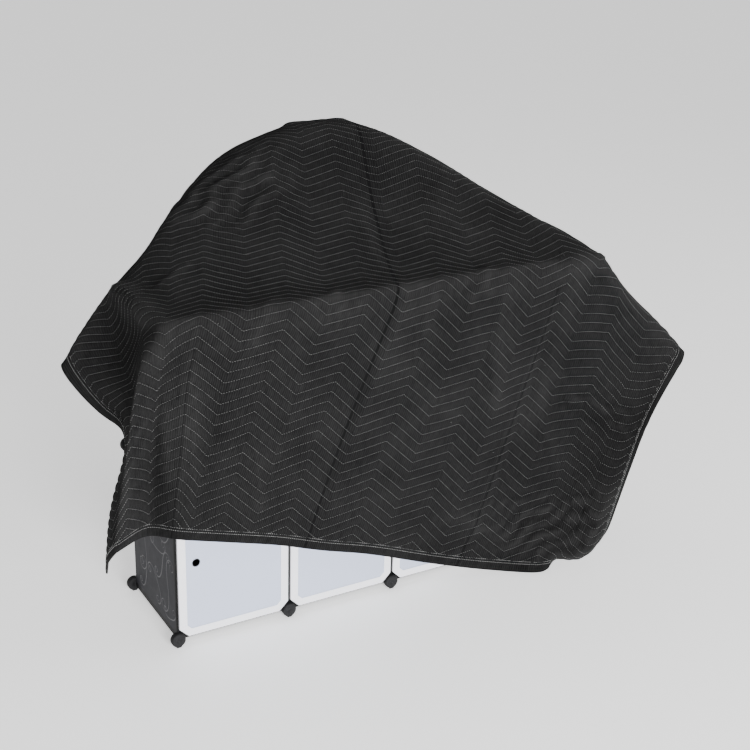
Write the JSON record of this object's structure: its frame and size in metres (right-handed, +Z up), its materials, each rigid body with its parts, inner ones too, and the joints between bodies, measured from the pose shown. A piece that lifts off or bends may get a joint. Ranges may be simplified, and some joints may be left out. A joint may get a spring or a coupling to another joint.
{
  "type": "moving pad draped over a storage cabinet",
  "caption": "Quilted moving pad draped over a low storage cabinet and a taller stand, hanging to the floor at one front corner.",
  "frame": {"origin": "middle of the bounding box's underside, on the floor", "axes": "+X along the cabinet's front to the right, +Y from the front to the back, +Z up"},
  "size_m": [1.7602, 1.1632, 1.1826],
  "materials": {
    "pad_cloth": "charcoal woven cotton and polyester, quilted",
    "dark_panel": "satin",
    "pale_door": "satin, translucent",
    "connector": "satin",
    "board": "plain board"
  },
  "bodies": {
    "root": {"pad": "pad_cloth", "cabinet_lid": "dark_panel", "cabinet_tray": "dark_panel", "cabinet_side_left": "dark_panel", "cabinet_side_right": "dark_panel", "cabinet_back": "dark_panel", "cabinet_divider_1": "dark_panel", "cabinet_divider_2": "dark_panel", "cabinet_divider_3": "dark_panel", "door_1_1": "pale_door", "door_1_2": "pale_door", "door_1_3": "pale_door", "door_1_4": "pale_door", "door_2_1": "pale_door", "door_2_2": "pale_door", "door_2_3": "pale_door", "door_2_4": "pale_door", "connector_front_1_1": "connector", "connector_front_1_2": "connector", "connector_front_1_3": "connector", "connector_front_1_4": "connector", "connector_front_1_5": "connector", "connector_front_2_1": "connector", "connector_front_2_2": "connector", "connector_front_2_3": "connector", "connector_front_2_4": "connector", "connector_front_2_5": "connector", "connector_front_3_1": "connector", "connector_front_3_2": "connector", "connector_front_3_3": "connector", "connector_front_3_4": "connector", "connector_front_3_5": "connector", "connector_back_1_1": "connector", "connector_back_1_2": "connector", "connector_back_1_3": "connector", "connector_back_1_4": "connector", "connector_back_1_5": "connector", "connector_back_2_1": "connector", "connector_back_2_2": "connector", "connector_back_2_3": "connector", "connector_back_2_4": "connector", "connector_back_2_5": "connector", "connector_back_3_1": "connector", "connector_back_3_2": "connector", "connector_back_3_3": "connector", "connector_back_3_4": "connector", "connector_back_3_5": "connector", "stand": "board"}
  },
  "joints": []
}
